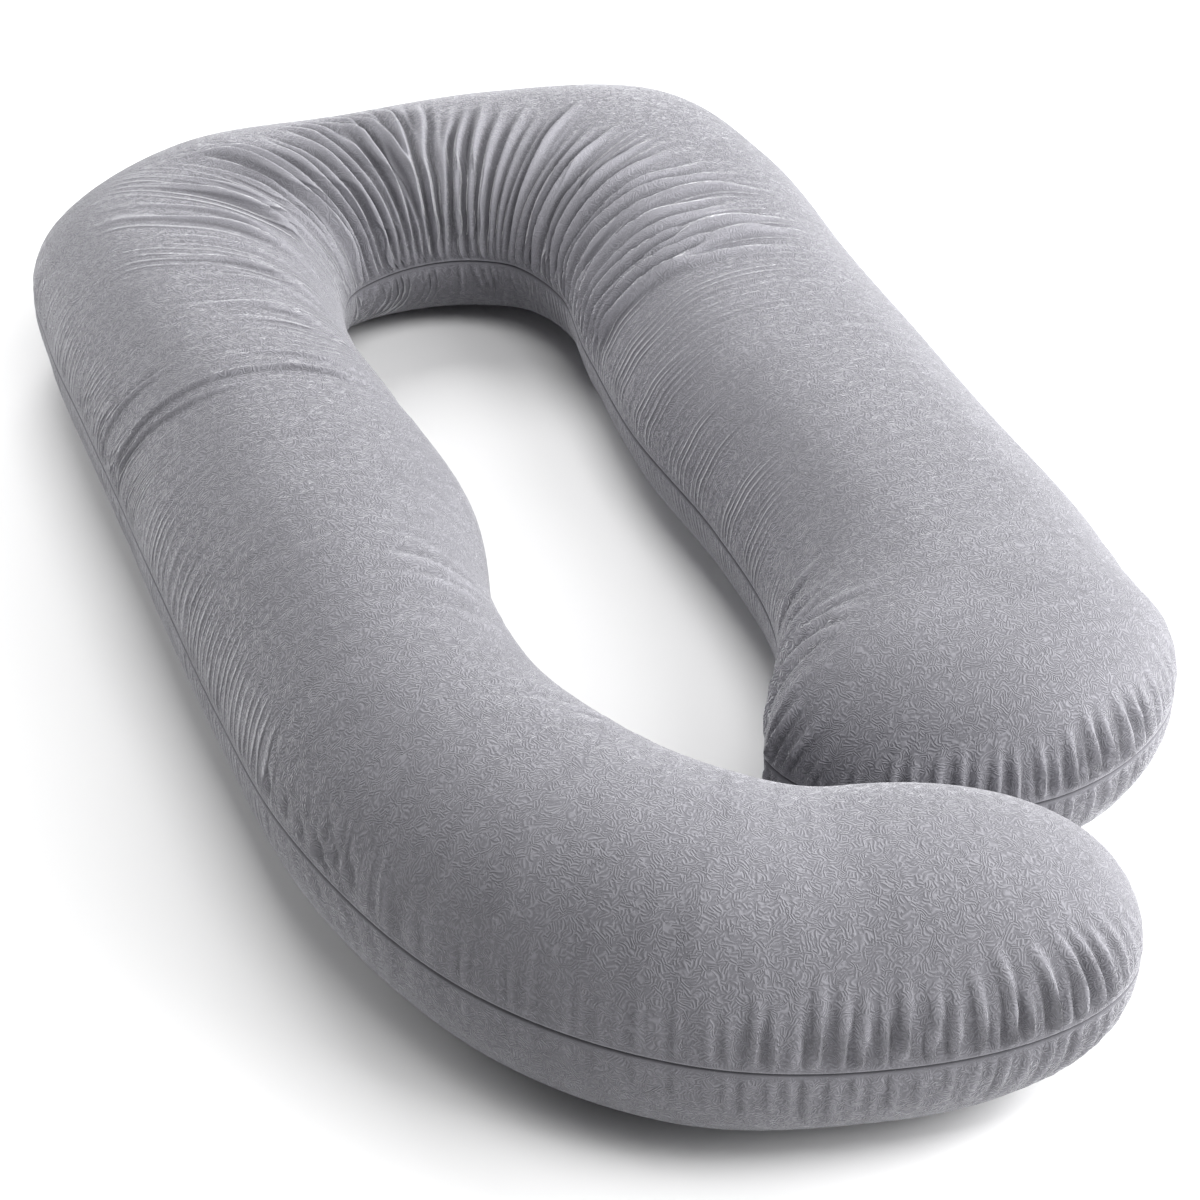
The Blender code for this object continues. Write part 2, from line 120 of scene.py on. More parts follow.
# Gathers that run up from the inner seam over the crown. The places of each are section rows at
# fixed angles round the section: 0 is the inner seam, 90 the crown and 180 the outer seam. A gather
# fades in at the angle start and out at the angle end. height: in millimetres, before the scale.
# lean: the side it folds towards. broad: its width beside that of a usual gather.
GATHER_ANGLES = (0, 18, 42, 70, 90, 112)
Gather = namedtuple("Gather", "places start end height lean broad", defaults=(1,))
GATHERS = [Gather(*row) for row in (
    # inner side of the left arm, above the hook
    ((3.36, 3.33, 3.3, 3.4, 3.48, 3.55), 6, 75, 1.6, 1, 1.6),
    ((3.45, 3.43, 3.42, 3.5, 3.58, 3.64), 20, 72, 1.1, 1, 1.6),
    ((3.46, 3.48, 3.55, 3.68, 3.76, 3.84), 6, 84, 1.7, 1, 1.6),
    ((3.8, 3.76, 3.72, 3.84, 3.93, 4.02), 4, 88, 2.4, 1, 1.6),
    ((3.88, 3.87, 3.9, 4.06, 4.16, 4.26), 10, 66, 1.2, 1, 1.6),
    ((4.5, 4.42, 4.38, 4.5, 4.6, 4.7), 4, 60, 1.8, 1, 1.5),
    ((4.46, 4.44, 4.52, 4.7, 4.82, 4.92), 4, 60, 1.7, 1, 1.5),
    ((4.5, 4.52, 4.69, 4.9, 5.02, 5.12), 6, 60, 1.5, 1, 1.5),
    ((1.4, 1.5, 1.75, 2.25, 2.5, 2.7), 44, 90, 1, 1, 1.8),
    ((1.8, 1.9, 2.1, 2.4, 2.62, 2.8), 44, 92, 1, 1, 1.8),
    # creases over the left arm
    ((5.55, 5.6, 5.67, 5.8, 5.92, 5.98), 20, 108, 2.8, 1, 0.42),
    ((5.7, 5.75, 5.84, 5.99, 6.13, 6.16), 30, 100, 1.8, 1, 0.42),
    ((5.7, 5.8, 6.25, 6.49, 6.68, 6.84), 46, 100, 1.5, 1, 0.75),
    ((5.8, 5.9, 6.3, 6.74, 6.89, 7), 30, 100, 3.1, 1, 0.75),
    ((6.4, 6.55, 6.9, 7.2, 7.36, 7.48), 40, 98, 2, 1, 0.75),
    ((6.6, 6.8, 7.13, 7.48, 7.68, 7.8), 26, 100, 3.6, 1, 0.75),
    ((7, 7.2, 7.52, 7.87, 8.06, 8.2), 40, 102, 2, 1, 0.75),
    # left corner of the bend
    ((7.3, 7.5, 7.9, 8.26, 8.44, 8.56), 20, 102, 3.9, 1, 0.75),
    ((7.35, 7.62, 8.04, 8.5, 8.7, 8.82), 20, 102, 2.4, 1, 0.75),
    ((8.3, 8.37, 8.54, 8.92, 9.1, 9.2), 4, 104, 5.9, 1, 0.75),
    ((8.95, 8.66, 8.79, 9.18, 9.29, 9.34), 1, 102, 4, 1, 0.75),
    ((8.8, 8.9, 9.15, 9.46, 9.51, 9.52), 24, 102, 2.5, 1, 0.75),
    ((9.2, 9.03, 9.34, 9.6, 9.67, 9.66), 2, 104, 3, 1, 0.75),
    # top of the bend, left half
    ((9.95, 9.755, 9.7, 9.8, 9.83, 9.62), 0, 114, 6.4, 1),
    ((10.17, 10, 9.95, 10, 10, 9.83), 0, 112, 4.2, 1),
    ((10.38, 10.25, 10.17, 10.185, 10.2, 10.2), 0, 98, 6, 1),
    ((10.49, 10.4, 10.367, 10.335, 10.29, 10.2), 0, 102, 3.8, 1),
    ((10.69, 10.62, 10.553, 10.5, 10.478, 10.45), 0, 102, 6.4, 1),
    ((10.79, 10.77, 10.72, 10.66, 10.62, 10.49), 0, 118, 4.2, 1),
    ((10.94, 10.89, 10.84, 10.806, 10.812, 10.82), 0, 100, 5.4, 1),
    ((10.75, 10.75, 10.75, 10.75, 10.745, 10.64), 84, 122, 4, 1),
    ((11.2, 11.18, 11.12, 11.05, 10.905, 10.73), 82, 120, 4, 1),
    ((11.06, 11.025, 10.995, 10.97, 10.96, 10.915), 0, 126, 6.2, 1),
    ((11.17, 11.16, 11.09, 11.04, 11.09, 11.1), 1, 82, 4, 1),
    ((11.3, 11.28, 11.25, 11.18, 11.11, 11.01), 62, 124, 4, 1),
    ((11.28, 11.26, 11.22, 11.195, 11.16, 11.135), 64, 128, 4.6, 1),
    ((11.315, 11.275, 11.26, 11.278, 11.293, 11.24), 0, 128, 6.2, 1),
    ((11.5, 11.475, 11.444, 11.455, 11.51, 11.525), 0, 116, 4.6, 1),
    ((11.42, 11.42, 11.41, 11.4, 11.39, 11.39), 78, 122, 2.4, 1),
    ((11.72, 11.7, 11.67, 11.615, 11.645, 11.66), 56, 98, 2, 1),
    ((11.61, 11.63, 11.665, 11.69, 11.765, 11.8), 0, 98, 4.2, 1),
    ((11.9, 11.855, 11.82, 11.828, 11.87, 11.9), 0, 98, 4.6, 0),
    # top of the bend, right half
    ((12.1, 12.07, 12.03, 12.01, 12.01, 12), 0, 100, 4.2, -1),
    ((12.27, 12.24, 12.2, 12.185, 12.18, 12.17), 0, 96, 4.2, -1),
    ((12.45, 12.44, 12.39, 12.37, 12.36, 12.35), 0, 94, 4, -1),
    ((12.6, 12.585, 12.55, 12.52, 12.51, 12.5), 0, 90, 2.8, -1),
    ((12.73, 12.72, 12.7, 12.67, 12.65, 12.63), 0, 88, 2.6, -1),
    ((12.865, 12.9, 12.845, 12.775, 12.76, 12.74), 0, 98, 4.8, -1),
    ((13.04, 13.03, 13.02, 13, 12.98, 12.96), 0, 74, 2, -1),
    ((13.215, 13.22, 13.17, 13.137, 13.1, 13.06), 0, 84, 3.6, -1),
    ((13.395, 13.39, 13.357, 13.31, 13.29, 13.27), 0, 86, 6.2, -1),
    ((13.55, 13.544, 13.515, 13.5, 13.5, 13.5), 0, 72, 3.2, -1),
    ((13.68, 13.61, 13.55, 13.52, 13.5, 13.5), 0, 44, 3, -1),
    ((13.8, 13.725, 13.67, 13.655, 13.66, 13.67), 0, 88, 5.4, -1),
    ((13.83, 13.872, 13.847, 13.86, 13.88, 13.9), 4, 92, 5, -1),
    ((13.92, 13.905, 13.9, 13.9, 13.9, 13.9), 0, 26, 2.6, -1),
    ((14.08, 14.01, 14.045, 14.075, 14.15, 14.25), 0, 96, 4.8, -1),
    # right corner of the bend
    ((14.17, 14.1, 14.125, 14.19, 14.3, 14.45), 0, 100, 4.2, -1),
    ((14.26, 14.31, 14.31, 14.38, 14.46, 14.63), 0, 118, 4.2, -1),
    ((14.4, 14.405, 14.475, 14.55, 14.62, 14.7), 0, 48, 3, -1),
    ((14.575, 14.6, 14.55, 14.58, 14.63, 14.7), 0, 94, 4.8, -1),
    ((14.73, 14.75, 14.752, 14.749, 14.75, 14.76), 0, 96, 4.8, -1),
    ((14.835, 14.85, 14.87, 14.898, 14.92, 14.98), 0, 116, 4.8, -1),
    ((14.92, 14.985, 15.033, 14.99, 14.9, 14.84), 0, 88, 4.8, -1),
    ((15.12, 15.108, 15.098, 15.093, 15.09, 15.12), 0, 122, 5.4, -1),
    ((15.2, 15.2, 15.228, 15.21, 15.12, 15.06), 8, 90, 6, -1),
    ((15.22, 15.22, 15.24, 15.262, 15.285, 15.35), 56, 110, 2.6, -1),
    # inner side of the right arm, by its end
    ((18.02, 18.035, 18.055, 18.1, 18.15, 18.2), 0, 46, 3.4, 1),
    ((18.12, 18.18, 18.28, 18.4, 18.48, 18.55), 4, 52, 2, 1),
    ((18.55, 18.46, 18.35, 18.3, 18.28, 18.26), 0, 46, 4, 1),
    ((18.48, 18.48, 18.525, 18.65, 18.75, 18.85), 20, 66, 2.8, 1),
    ((18.72, 18.63, 18.64, 18.85, 18.95, 19.05), 0, 62, 4.4, 1),
    ((18.86, 18.78, 18.78, 18.95, 19.05, 19.15), 0, 58, 4.4, 1),
)]
# Creases and gathers of the outer side, which start near the crown.
CREASE_ANGLES = (80, 100, 120, 140, 160, 180)
CREASES = [Gather(*row) for row in (
    ((5.86, 5.94, 5.99, 6.04, 6.11, 6.25), 84, 182, 3.4, 1, 0.42),
    ((5.79, 5.8, 5.835, 5.915, 6.01, 6.16), 98, 182, 3.2, 1, 0.42),
    ((6.26, 6.28, 6.31, 6.35, 6.42, 6.54), 120, 182, 2.4, 1, 0.7),
    ((6.44, 6.46, 6.48, 6.51, 6.55, 6.64), 140, 182, 2, 1, 0.7),
    ((15.66, 15.74, 15.82, 15.9, 15.98, 16.06), 96, 150, 0.9, -1, 1.3),
    ((15.4, 15.48, 15.56, 15.64, 15.72, 15.8), 100, 150, 0.9, -1, 1.3),
    ((16.2, 16.26, 16.32, 16.38, 16.44, 16.5), 104, 150, 0.8, -1, 1.3),
    ((14.8, 14.88, 14.96, 15.04, 15.12, 15.2), 100, 140, 0.9, -1, 1.2),
    ((14.5, 14.58, 14.66, 14.74, 14.82, 14.9), 100, 140, 0.8, -1, 1.2),
)]
# The columns of the cover's mesh lie along the gathers, at these angles round the section.
GRAIN_ANGLES = (0, 18, 42, 70, 90, 112, 140, 180)
GRAIN_MARGIN = 12
GRAIN_SPREAD = 0.3
GRAIN_HOLD = 0.3
GRAIN_TAPER = 0.5
GRAIN_LEAST_STEP = 0.35
# Rows past its places that a gather can reach, and widths of its crest by a seam and at the crown.
GATHER_ROWS = 0.9
GATHER_CREST = (0.0027, 0.0045)
STRONG_GATHER = 5.0
GATHER_SCALE = 1.75
CREASE_SCALE = 1.25
# Where a gather fades, in degrees: about its start, about its end, over the crown and from a seam.
FADE_IN = (-8, 16)
FADE_OUT = (-30, 4)
CROWN_FADE = (90, 118)
CROWN_FADE_SHARE = 0.6
SEAM_FADE = (0.3, 5)
SEAM_SIDE = (4, 28)
SEAM_SIDE_SHARE = 0.4
# A gather that starts below the first angle, or ends above the second, reaches that seam.
AT_INNER_SEAM = 3
AT_OUTER_SEAM = 175
PAST_CROWN = 130
UNDER_SEAM_SHARE = 0.25
UNDER_SEAM_RISE = (0.3, 4)
UNDER_SEAM_FALL = (8, 42)
# Rows where the gathers go on under the inner seam.
GATHERED_UNDER_SEAM = (9.9, 13.3)
UNDER_SEAM_LEAN = 0.014
# The valley beside a crest: its depth, its distance and its width, the last two in crest widths.
Valley = namedtuple("Valley", "depth away width")
EVEN_VALLEY = Valley(0.3, 1.9, 0.8)
LEANING_VALLEY = Valley(0.6, 1.65, 0.65)
PUCKER_VALLEY = Valley(0.5, 2.1, 1.1)
GENTLE_SIDE = 1.8
STEEP_SIDE = 0.75

# Puckers that run up and down from the seam, for each part of it. place: a row along the body's
# sides, or degrees round an end, where 90 is its outer side. height: in millimetres, before the scale.
Pucker = namedtuple("Pucker", "part place height reach lean")
PUCKERS = {
    "hook_end": (
        (15.5, 1.4, 30, 0.15), (22.5, 1.4, 22, 0.1), (30.2, 2.4, 32, 0.02), (37.3, 3.6, 32, 0.02),
        (43, 4.2, 32, 0), (49, 4.2, 32, -0.03), (53, 2, 14, 0), (57, 4.2, 32, -0.02),
        (63, 3, 22, 0.01), (67.8, 4.2, 34, -0.05), (70.6, 1.6, 12, 0), (74.2, 3.4, 30, -0.03),
        (79.3, 3.2, 26, -0.04), (84, 3.2, 28, -0.08), (88.6, 3.8, 30, -0.04),
    ),
    "outer": (
        (0.04, 2.6, 26, -0.001), (0.146, 3, 30, -0.001), (0.242, 3.2, 30, -0.001),
        (0.36, 3.4, 34, -0.001), (0.45, 2, 18, -0.001), (0.54, 2.2, 24, 0),
        (0.645, 2.8, 28, -0.001), (0.75, 1.6, 20, 0), (0.84, 1.8, 22, 0),
        (0.98, 1.8, 24, 0), (2.62, 2, 26, -0.003), (2.73, 2.4, 28, -0.003),
        (2.82, 2.4, 28, -0.003), (2.96, 2, 26, -0.003), (3.11, 2, 26, -0.003),
        (3.28, 2, 28, -0.003),
    ),
    "arm_end": (
        (-88, 3.6, 34, 0.2), (-79, 3, 32, 0.3), (-69, 1.8, 22, 0.3), (-43.6, 2, 26, 0),
        (-38.7, 2.2, 26, 0), (-31.8, 2.6, 28, 0), (-25.6, 3, 30, -0.03), (-21.7, 1.8, 24, 0),
        (-16.6, 3.2, 28, 0), (-11, 3, 28, -0.05), (-3.6, 3, 30, -0.06), (0.7, 2.4, 20, 0),
        (6.7, 3.6, 30, -0.04), (11.8, 2.2, 20, -0.06), (14.3, 4.2, 34, -0.04), (20, 3.8, 30, -0.06),
        (26.8, 4.4, 34, -0.04), (33, 4, 32, -0.05), (36.5, 3.6, 32, 0), (40.5, 2.6, 20, -0.06),
        (43.8, 4, 36, -0.03), (47.5, 3, 30, -0.06), (51.5, 3.6, 38, 0), (57, 3, 40, 0.02),
        (64, 2.6, 40, 0.02), (72, 2.6, 36, 0.02), (80, 2.4, 34, 0.02),
    ),
}
PUCKER_CREST = 0.0023
PUCKER_CREST_SHARE = 0.8
PUCKER_ROWS = 0.9
PUCKER_SCALE = 2.2
PUCKER_RISE = (0.2, 5)
PUCKER_WHOLE_REACH = 0.25
STRONG_PUCKER = 4
PUCKER_REACH_SCALE = {"hook_end": 1.25, "outer": 1.2, "inner": 1.0, "arm_end": 1.0}
UNDER_PUCKER_SHARE = 0.5
UNDER_PUCKER_RISE = (0.2, 3)
UNDER_PUCKER_REACH = 0.8
# Small uneven puckers along the rest of the seam.
Edging = namedtuple("Edging", "part first last pitch height reach lean")
EDGINGS = [Edging(*row) for row in (
    ("outer", 1.02, 2.58, 0.013, 1, 22, 0),
    ("outer", 3.34, 6.1, 0.012, 0.7, 26, -0.002),
    ("outer", 6.1, 8.6, 0.012, 0.7, 26, 0.001),
    ("outer", 8.6, 15, 0.014, 0.7, 24, 0.001),
    ("outer", 15, 19, 0.014, 0.8, 28, -0.002),
    ("inner", 0, 3.3, 0.013, 0.8, 24, 0.001),
    ("inner", 3.3, 8.5, 0.013, 0.5, 18, 0.001),
    ("inner", 15, 17.95, 0.011, 0.6, 20, 0.001),
    ("hook_end", -88, 12, 0.015, 1.2, 28, 0),
    ("arm_end", -66, -46, 0.013, 1.2, 18, 0),
)]
GOLDEN = 0.618034
# Where the filling presses the cover smooth: a part of the seam, degrees above it, and the share of
# the folds' height that is lost.
Calm = namedtuple("Calm", "part first last low high share")
CALM = [Calm(*row) for row in (
    ("inner", 3, 8.8, -90, 50, 0.9),
    ("inner", 14.9, 18.4, -90, 12, 0.7),
    ("outer", 13.6, 18.4, -90, 74, 0.85),
    ("outer", 8.6, 14.6, -90, 74, 0.7),
    ("outer", 3.6, 8.6, -90, 16, 0.5),
    ("hook_end", -90, 20, -90, 90, 0.9),
    ("hook_end", 20, 42, -90, 90, 0.5),
    ("arm_end", 36, 90, -90, 90, 0.8),
)]
CALM_MARGIN = 0.3
MARGIN_DEGREES = 12
# Where the finest pleats and the painted shade under the inner seam show: section rows, and degrees
# round the section as for the gathers, below 0 under the inner seam and above 180 under the outer one.
Patch = namedtuple("Patch", "kind first last low high share")
PATCHES = [Patch(*row) for row in (
    ("fine_pleats", 0.8, 18.2, -20, 14, 0.55),
    ("fine_pleats", 0.8, 2.4, 168, 190, 0.2),
    ("fine_pleats", 2.8, 18.2, 160, 200, 0.55),
    ("fine_pleats", 2.4, 3.6, 150, 178, 0.95),
    ("fine_pleats", 3.4, 9, 150, 178, 0.5),
    ("fine_pleats", 8.2, 9.4, 2, 36, 0.8),
    ("fine_pleats", 9.3, 14.5, -40, 87, 1),
    ("fine_pleats", 14.5, 17.4, 0, 44, 0.65),
    ("broad_pleats", 6.1, 7.8, 10, 76, 0.7),
    ("broad_pleats", 7.7, 9.3, 46, 116, 1),
    ("broad_pleats", 14.3, 15.4, 28, 112, 0.7),
    ("broad_pleats", 15.2, 16.6, 20, 100, 0.3),
    # A painted shade on the strip under the inner seam round the bend.
    ("painted_under_seam_shade", 9.6, 14, -90, -6, 0.9),
)]
PATCH_MARGIN = 0.4

# The short cloth run on a sparse copy of the cover, which air pressure swells.
FILLING_STRETCHES = ((0, LAST_ROW, 96),)
FILLING_END_COLUMNS = 22
FILLING_ANGLE_STEP = 4
FILLING_SLACK = 0.004
FILLING_FRAMES = 20
FILLING_QUALITY = 6
FILLING_POINT_MASS = 0.3
FILLING_STIFFNESS = 15
FILLING_PRESSURE = 4
FILLING_CAP = 0.0015


def smooth_step(low, high, value):
    """0 below low, 1 above high, and a soft rise between."""
    share = np.clip((value - low) / (high - low), 0, 1)
    return share * share * (3 - 2 * share)


def within(low, high, margin, value):
    """1 between low and high and 0 outside, with edges that are soft over the margin."""
    inside = smooth_step(low - margin, low + margin, value)
    return inside * (1 - smooth_step(high - margin, high + margin, value))


def bell(distance, width):
    return np.exp(-((distance / width) ** 2))


def sections_at(rows):
    """The section table on a smooth curve through its rows, at fractions of rows."""
    table = np.array(SECTIONS, float)
    steered = np.vstack([BEFORE_HOOK, table, BEYOND_ARM])
    start = np.clip(np.floor(rows).astype(int), 0, len(table) - 2)
    share = (rows - start)[:, None]
    before, here, after, beyond = (steered[start + step] for step in range(4))
    bend = 2 * before - 5 * here + 4 * after - beyond
    rest = 3 * here - before - 3 * after + beyond
    return here + 0.5 * ((after - before) * share + bend * share**2 + rest * share**3)


def superellipse(angles, lower_tall):
    """Outward and upward shares of a half section at angles above (or below) its seam."""
    radians = np.radians(angles)
    squareness = np.where(angles >= 0, UPPER_SQUARENESS, LOWER_SQUARENESS)
    out = np.clip(np.cos(radians), 0, 1) ** (2 / squareness)
    rise = np.sign(angles) * np.abs(np.sin(radians)) ** (2 / squareness)
    return out, np.where(angles < 0, rise * lower_tall, rise)


def stepped_angles(end, tall, steps):
    """Angles from the seam to the angle end, whose steps on the cloth grow from fine to coarse."""
    step, growth, most = steps
    fine = np.linspace(0, end, 4001)
    out, rise = superellipse(fine, 1 + PRESSED_SHARE)
    run = np.hypot(np.diff(USUAL_SECTION[0] * out), np.diff(tall * rise))
    length = np.concatenate([[0], np.cumsum(run)])
    marks = [0.0]
    while marks[-1] + step < length[-1]:
        marks.append(marks[-1] + step)
        step = min(step * growth, most)
    marks = np.array(marks) * length[-1] / marks[-1]
    return np.interp(marks, length, fine)


UPPER_ANGLES = stepped_angles(90, USUAL_SECTION[1], UPPER_STEPS)
PRESSED_ANGLE = -np.degrees(np.arcsin((1 + PRESSED_SHARE) ** (-LOWER_SQUARENESS / 2)))
LOWER_ANGLES = stepped_angles(PRESSED_ANGLE, USUAL_SECTION[2], LOWER_STEPS)
ANGLES = np.concatenate([UPPER_ANGLES[::-1], LOWER_ANGLES[1:], [-90.0]])
SEAM_INDEX = len(UPPER_ANGLES) - 1


def grain(rows, round_angles):
    """Rows for every column and angle, drawn aside so that the columns follow the gathers.

    A column keeps its own row over the crown and along the bottom.
    """
    drift = {angle: np.zeros(len(rows)) for angle in GRAIN_ANGLES}
    weight = {angle: np.full(len(rows), GRAIN_HOLD) for angle in GRAIN_ANGLES}
    for angles, gathers in ((GATHER_ANGLES, GATHERS), (CREASE_ANGLES, CREASES)):
        for gather in gathers:
            crown, *places = smooth_path(angles, gather.places, np.array((90, *GRAIN_ANGLES), float))
            near = gather.height * bell(rows - crown, GRAIN_SPREAD)
            for angle, place in zip(GRAIN_ANGLES, places):
                if angle != 90 and gather.start - GRAIN_MARGIN <= angle <= gather.end + GRAIN_MARGIN:
                    drift[angle] += near * (place - crown)
                    weight[angle] += near
    taper = smooth_step(0, GRAIN_TAPER, rows) * smooth_step(0, GRAIN_TAPER, LAST_ROW - rows)
    # Half the drift goes on round to 45 degrees past each seam, and none along the bottom.
    knots = np.array((-90, -45, *GRAIN_ANGLES, 225, 270), float)
    table = np.zeros((len(rows), len(knots)))
    for index, angle in enumerate(GRAIN_ANGLES):
        table[:, index + 2] = taper * drift[angle] / weight[angle]
    table[:, 1] = 0.5 * table[:, 2]
    table[:, -2] = 0.5 * table[:, -3]
    drawn = rows[:, None] + np.array([smooth_path(knots, offsets, round_angles) for offsets in table])
    steps = np.maximum(np.diff(drawn, axis=0), GRAIN_LEAST_STEP * np.diff(rows)[:, None])
    drawn = np.vstack([np.zeros((1, len(ANGLES))), np.cumsum(steps, axis=0)])
    return drawn * LAST_ROW / drawn[-1]


class Columns:
    """Half sections in order round the seam: outer side, arm end, inner side, hook end."""

    def __init__(self, rows, end_columns):
        self.turns = turns = 90 - 180 * np.arange(1, end_columns) / end_columns
        back = slice(None, None, -1)
        self.count, self.inner_start = len(rows), len(rows) + len(turns)
        outer_rows = grain(rows, 180 - ANGLES)
        inner_rows = grain(rows, ANGLES)[back]
        unset = np.full((len(turns), len(ANGLES)), np.nan)
        self.rows = np.concatenate([outer_rows, unset, inner_rows, unset])
        self.side = np.repeat([1, 0, -1, 0], [len(rows), len(turns)] * 2)
        self.round_angle = np.where(self.side[:, None] > 0, 180 - ANGLES, ANGLES)
        self.place = np.concatenate([
            seam_place("outer", outer_rows),
            np.tile(seam_place("arm_end", turns)[:, None], (1, len(ANGLES))),
            seam_place("inner", inner_rows),
            np.tile(seam_place("hook_end", turns[back])[:, None], (1, len(ANGLES))),
        ])
        parts = [
            self.body_side(outer_rows, 1),
            self.rounded_end(-1, ARM_END_LENGTH, ARM_END_SQUARENESS, 1, turns),
            self.body_side(inner_rows, -1),
            self.rounded_end(0, HOOK_END_LENGTH, HOOK_END_SQUARENESS, -1, turns[back]),
        ]
        joined = (np.concatenate(column) for column in zip(*parts))
        self.middle, self.edge, self.crown, self.lift = joined

    @staticmethod
    def body_side(rows, side):
        body = sections_at(rows.ravel()).reshape(rows.shape + (7,))
        heading = np.radians(body[..., 4])
        across = np.stack([-np.sin(heading), np.cos(heading)], axis=-1)
        lift = body[..., 5] if side > 0 else body[..., 6]
        return body[..., :2], side * across * body[..., 2:3], body[..., 3], lift

    @staticmethod
    def rounded_end(row, length, squareness, forward, turns):
        x, y, half_width, crown, degrees, outer_lift, inner_lift = SECTIONS[row]
        heading = np.radians(degrees)
        ahead = np.array([np.cos(heading), np.sin(heading)])
        across = np.array([-ahead[1], ahead[0]])
        radians = np.radians(turns)
        squareness = np.where(turns > 0, *squareness)
        reach = forward * length * np.cos(radians) ** (2 / squareness)
        spread = np.sign(turns) * half_width * np.abs(np.sin(radians)) ** (2 / squareness)
        edge = reach[:, None] * ahead + spread[:, None] * across
        lift = inner_lift + (outer_lift - inner_lift) * (turns + 90) / 180
        shape = (len(turns), len(ANGLES))
        return (
            np.tile([x, y], shape + (1,)),
            np.repeat(edge[:, None, :], len(ANGLES), axis=1),
            np.full(shape, crown),
            np.repeat(lift[:, None], len(ANGLES), axis=1),
        )

    def points(self):
        """The plain form's points, for every column at every angle."""
        out, rise = superellipse(ANGLES, 1 + PRESSED_SHARE)
        seam_height = SEAM_SHARE * self.crown + self.lift
        tall = np.where(ANGLES >= 0, self.crown - seam_height, seam_height)
        flat = self.middle + self.edge * out[None, :, None]
        height = np.maximum(seam_height + tall * rise, 0)
        return np.concatenate([flat, height[:, :, None]], axis=2)


def seam_place(part, value):
    """One measure for the whole seam: rows up the outer side, round the arm's end, and back."""
    value = np.asarray(value, float)
    if part == "outer":
        return value
    if part == "arm_end":
        return LAST_ROW + END_ROWS * (90 - value) / 180
    if part == "inner":
        return LAST_ROW + END_ROWS + LAST_ROW - value
    return 2 * LAST_ROW + END_ROWS + END_ROWS * (value + 90) / 180


SEAM_ROWS = 2 * (LAST_ROW + END_ROWS)


def body_rows(stretches):
    rows = [np.linspace(first, last, columns, endpoint=False) for first, last, columns in stretches]
    return np.append(np.concatenate(rows), float(LAST_ROW))


def linked_object(name, data):
    piece = bpy.data.objects.new(name, data)
    bpy.context.collection.objects.link(piece)
    return piece


def shell_mesh(name, columns, points):
    """A closed mesh from a grid of half sections that share their top and bottom middle points.

    Gives the object and, for each grid place, the number of its vertex.
    """
    total, steps = points.shape[:2]
    count, inner_start = columns.count, columns.inner_start
    number = np.full((total, steps), -1)
    number[:, 1:-1] = np.arange(total * (steps - 2)).reshape(total, steps - 2)
    spare = total * (steps - 2)
    for end in (0, -1):
        middles = np.arange(count) + spare
        spare += count
        number[:count, end] = middles
        number[count:inner_start, end] = middles[-1]
        number[inner_start:inner_start + count, end] = middles[::-1]
        number[inner_start + count:, end] = middles[0]
    coordinates = np.empty((spare, 3))
    coordinates[number.ravel()] = points.reshape(-1, 3)
    after = np.roll(number, -1, axis=0)
    quads = np.stack([after[:, :-1], after[:, 1:], number[:, 1:], number[:, :-1]], axis=-1)
    faces = [tuple(dict.fromkeys(quad)) for quad in quads.reshape(-1, 4).tolist()]
    mesh = bpy.data.meshes.new(name)
    mesh.from_pydata(coordinates.tolist(), [], faces)
    mesh.shade_smooth()
    return linked_object(name, mesh), number


def read_vectors(items, name):
    values = np.empty(len(items) * 3, np.float32)
    items.foreach_get(name, values)
    return values.reshape(-1, 3).astype(float)


def valley_at(valley, across, width):
    return valley.depth * bell(across - valley.away * width, valley.width * width)


def ridge(across, width, lean):
    """A gather's cross shape: a crest, gentle on one side and steep into a fold on the other."""
    if lean == 0:
        return bell(across, width) - valley_at(EVEN_VALLEY, np.abs(across), width)
    leaning = across * lean
    gentle, steep = bell(leaning, GENTLE_SIDE * width), bell(leaning, STEEP_SIDE * width)
    return np.where(leaning < 0, gentle, steep) - valley_at(LEANING_VALLEY, leaning, width)


def smooth_path(knots, values, at):
    """A smooth curve through a few values, read at any angle and straight beyond its ends."""
    knots, values = np.asarray(knots, float), np.asarray(values, float)
    slope = np.gradient(values, knots)
    index = np.clip(np.searchsorted(knots, at) - 1, 0, len(knots) - 2)
    wide = knots[index + 1] - knots[index]
    share = np.clip((at - knots[index]) / wide, 0, 1)
    near, far = values[index], values[index + 1]
    rise, fall = slope[index] * wide, slope[index + 1] * wide
    curve = (
        near
        + rise * share
        + (3 * (far - near) - 2 * rise - fall) * share**2
        + (2 * (near - far) + rise + fall) * share**3
    )
    beyond = np.where(at < knots[0], (at - knots[0]) * slope[0], 0)
    return curve + beyond + np.where(at > knots[-1], (at - knots[-1]) * slope[-1], 0)


def cloth_measures(columns, points):
    """Metres for each row along the seam, and for each degree round the section, at every point."""
    span = (np.roll(columns.place, -1, axis=0) - np.roll(columns.place, 1, axis=0)) % SEAM_ROWS
    for_row = (np.roll(points, -1, axis=0) - np.roll(points, 1, axis=0)) / span[..., None]
    degrees = np.gradient(ANGLES)[None, :, None]
    aside = np.gradient(columns.place, axis=1)[..., None]
    for_degree = (np.gradient(points, axis=1) - for_row * aside) / degrees
    return np.linalg.norm(for_row, axis=2), np.linalg.norm(for_degree, axis=2)


